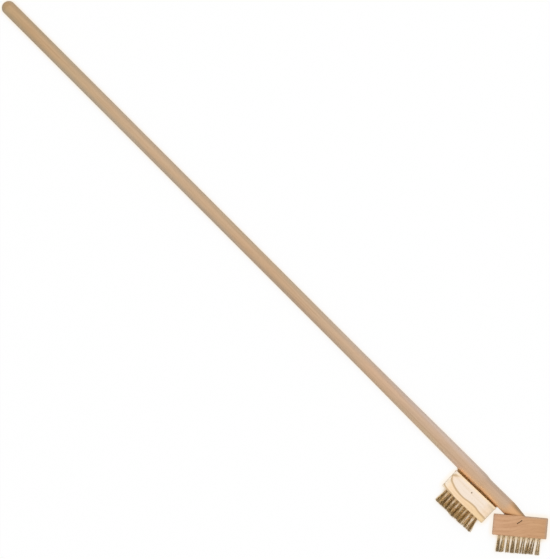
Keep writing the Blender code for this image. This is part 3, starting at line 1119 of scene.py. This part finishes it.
wireSizes = {
    "radius": 0.20 * mm,
    "sides": 3,
    "steps": 12,
    "rootDepth": 9.8 * mm,
    "crimpDepth": 0.22 * mm,
    "crimpLength": 8.0 * mm,
    "crimpStart": 3 * mm,       # the length over which the crimp grows from nothing
    "floorGap": 0.4 * mm,       # kept between the wires and the table
    "leanStray": 0.015,
    "driftShare": 0.7,          # of a wire's stray, which is left once its clump holds it
    "tuftUneven": 0.4,          # shares of a head's uneven length, either way
    "wireUneven": 0.6,
    "tuftTone": (-0.10, 0.14),
    "looseTone": 0.45,          # the darkest tone of a loose wire
    "sharpAngle": math.radians(80),
    "seed": 11,
}
headWires = {
    "fitted": {
        "length": 29.7 * mm,
        "rootRadius": 2.5 * mm,
        "coreTone": 0.28,
        "clumpTone": (-0.34, 0.40),
        # painted light on the two rows underneath
        "lowerRowLight": 0.35,
        "uneven": 1.4 * mm,
        "coreWires": 14,
        "looseWires": 8,
        "clumps": 2,
        "clumpSpan": 0.42,      # a clump's width, as a share of its tuft's
        "clumpTurn": (-0.5, 0.5),
        "stray": 0.020,
        "lowerStray": 0.035,
        "looseStray": 0.055,
        "leans": (-1, -7, -3, -3, -3, -5, -8, -8, -3),   # degrees, by column
        "spreads": (1.0, 1.3, 1.1, 1.2, 1.1, 1.5, 1.2, 1.5, 1.2),
        "extra": (0, 0, 0, 0, 0, 0, 0, 0, 0),            # mm longer
        "lowerSpread": 0.1,     # how much wider the two rows underneath open
    },
    "spare": {
        "length": 26.5 * mm,
        "rootRadius": 2.65 * mm,
        "coreTone": 0.32,
        "clumpTone": (-0.18, 0.26),
        "lowerRowLight": 0.60,
        "uneven": 1.4 * mm,
        "coreWires": 24,
        "looseWires": 7,
        "clumps": 3,
        "clumpSpan": 0.6,
        "clumpTurn": (0.0, math.tau),
        "stray": 0.020,
        "lowerStray": 0.13,
        "looseStray": 0.13,
        "leans": (0, 0, 1, 0, 0, 0, 0, 7, 9.4),
        "spreads": (1.4, 1.25, 1.3, 1.25, 1.25, 1.6, 1.35, 1.45, 1.3),
        "extra": (0, 0, 0, 0, 1.6, 0, 0.6, 0, 0),
        "lowerSpread": 0.7,
    },
}


def straightWire():
    bm = bmesh.new()
    bmesh.ops.create_cone(bm, cap_ends=True, segments=wireSizes["sides"], depth=1.0,
                          radius1=wireSizes["radius"], radius2=wireSizes["radius"],
                          matrix=Matrix.Translation((0, 0, 0.5)))
    endToEnd = [edge for edge in bm.edges if abs(edge.verts[0].co.z - edge.verts[1].co.z) > 0.5]
    bmesh.ops.subdivide_edges(bm, edges=endToEnd, cuts=wireSizes["steps"] - 1)
    bm.verts.layers.float.new("wireTone")
    return meshFrom(bm, "straightWire")


def around(angle, reach):
    return Vector((math.cos(angle), math.sin(angle))) * reach


def strayFrom(rng, amount):
    return Vector((rng.gauss(0, amount), rng.gauss(0, amount)))


def clumpsOf(head, rng):
    # the middle, lean and tone of each of a tuft's clumps
    tones = [rng.uniform(*head["clumpTone"]) for number in range(head["clumps"])]
    start = rng.uniform(*head["clumpTurn"])
    clumps = []
    for number, tone in enumerate(tones):
        middle = around(start + math.tau * number / head["clumps"],
                        head["rootRadius"] * (1 - head["clumpSpan"]))
        clumps.append((middle, strayFrom(rng, head["stray"]), tone))
    return clumps


def addWire(bm, wire, path, lowest, shade):
    # path gives the wire's axis at any height over the face
    first = len(bm.verts)
    bm.from_mesh(wire)
    bm.verts.ensure_lookup_table()
    tone = bm.verts.layers.float["wireTone"]
    for vert in bm.verts[first:]:
        height = vert.co.z * (path["length"] + wireSizes["rootDepth"]) - wireSizes["rootDepth"]
        out = max(0.0, height)
        wave = math.sin(math.tau * out / wireSizes["crimpLength"] + path["phase"])
        axis = path["root"] + path["drift"] * out
        axis += path["crimp"] * wave * min(1.0, out / wireSizes["crimpStart"])
        vert.co = Vector((vert.co.x + axis.x, vert.co.y + max(axis.y, lowest), height))
        vert[tone] = shade


def tuftMesh(place, head, row, column, rng, wire):
    sizes = wireSizes
    bm = bmesh.new()
    lean = Vector((math.tan(math.radians(head["leans"][column])) + rng.gauss(0, sizes["leanStray"]),
                   rng.gauss(0, sizes["leanStray"])))
    spread = head["spreads"][column] - 1
    coreStray = head["stray"]
    isLower = row < tuftGrid["rows"] - 1
    if isLower:
        spread += head["lowerSpread"]
        coreStray = head["lowerStray"]
    lowest = sizes["floorGap"] - layout["blockThickness"] / 2 - rowOffset(row)
    tuftLength = head["length"] + head["extra"][column] * mm
    tuftLength += rng.uniform(-sizes["tuftUneven"], sizes["tuftUneven"]) * head["uneven"]
    tuftTone = rng.uniform(*sizes["tuftTone"])
    clumps = clumpsOf(head, rng)
    for number in range(head["coreWires"] + head["looseWires"]):
        isCore = number < head["coreWires"]
        middle, clumpLean, clumpTone = clumps[number % head["clumps"]]
        reach = head["rootRadius"] * head["clumpSpan"] * math.sqrt(rng.random())
        root = middle + around(rng.uniform(0, math.tau), reach)
        length = tuftLength + rng.uniform(-sizes["wireUneven"], sizes["wireUneven"]) * head["uneven"]
        stray = strayFrom(rng, coreStray if isCore else head["looseStray"]) * sizes["driftShare"]
        path = {
            "root": root,
            "length": length,
            "drift": middle * spread / length + (lean + clumpLean + stray),
            "phase": rng.uniform(0, math.tau),
            "crimp": around(rng.uniform(0, math.tau), sizes["crimpDepth"]),
        }
        # core wires darker: partly the dull wire's own tone, partly painted shade inside the tuft
        if isCore:
            shade = rng.random() * head["coreTone"]
        else:
            shade = sizes["looseTone"] + rng.random() * (1 - sizes["looseTone"])
        shade += tuftTone + clumpTone
        # painted light: the two rows underneath made lighter against the shade of the row above
        if isLower:
            shade += head["lowerRowLight"]
        addWire(bm, wire, path, lowest, shade)
    bmesh.ops.transform(bm, matrix=place, verts=bm.verts[:])
    mesh = meshFrom(bm, "wires")
    mesh.shade_smooth()
    mesh.set_sharp_from_angle(angle=sizes["sharpAngle"])
    return mesh


wireLooks = {
    "fitted": {
        "brass": (0.98, 0.785, 0.47),
        "dullAndShade": (0.27, 0.19, 0.10),
        "root": (1.0, 0.84, 0.58),
        "rootLightShare": 0.7,
        "tip": (0.40, 0.30, 0.17),
    },
    "spare": {
        "brass": (1.0, 0.74, 0.36),
        "dullAndShade": (0.25, 0.145, 0.045),
        "root": (1.0, 0.76, 0.46),
        "rootLightShare": 0.35,
        "tip": (0.32, 0.25, 0.16),
    },
    "dullTone": 0.1,
    "brassTone": 0.9,
    "rootLightEnds": (2 * mm, 14 * mm),       # from the face that the wires stand in; painted light there, against the block's shade
    "tipStarts": (18 * mm, 27 * mm),
    "tipShare": 0.5,
    "mottle": {"scale": 260.0, "detail": 2.0, "from": 0.4, "to": 0.65, "tint": (0.80, 0.76, 0.66)},
    "roughness": 0.42,
    "metallic": 0.35,
}


def coatedWire(head, place):
    shared = wireLooks
    look = wireLooks[head]
    material, tree, shader = newMaterial(head + "BrassCoatedWire", shared["roughness"], shared["metallic"])
    tone = tree.nodes.new("ShaderNodeAttribute")
    tone.attribute_name = "wireTone"
    # the dark stop is partly the dull wire's tone, partly painted shade of a tuft's core
    stops = ((shared["dullTone"], look["dullAndShade"]), (shared["brassTone"], look["brass"]))
    base = ramp(tree, tone.outputs["Fac"], stops)
    point = localPoint(tree, place)
    fromFace = mathNode(tree, "SUBTRACT", -layout["blockHeight"] / 2, split(tree, point)[1])
    # painted light on the wires near the block, where the block shades them
    base = mixColour(tree, fade(tree, fromFace, shared["rootLightEnds"], look["rootLightShare"]), base, look["root"])
    base = mixColour(tree, rise(tree, fromFace, shared["tipStarts"], shared["tipShare"]), base, look["tip"])
    mottle = shared["mottle"]
    mottleShare = remap(tree, figure(tree, point, mottle), mottle["from"], mottle["to"])
    base = mixColour(tree, mottleShare, base, mottle["tint"], "MULTIPLY")
    tree.links.new(base, shader.inputs["Base Color"])
    return material


def buildTufts():
    rng = random.Random(wireSizes["seed"])
    wire = straightWire()
    for head, place, body in (("fitted", fittedPlace, "brush"), ("spare", sparePlace, "spare_head")):
        finish = coatedWire(head, place)
        for row in range(tuftGrid["rows"]):
            for column in range(tuftGrid["columns"]):
                spot = f"r{row + 1}_c{column + 1}"
                mesh = tuftMesh(place @ tuftPlace(row, column), headWires[head], row, column, rng, wire)
                addPiece(f"{head}Wires_{spot}", mesh, body, finish, f"{head}_tuft_{spot}")


buildTufts()
print("tufts built")
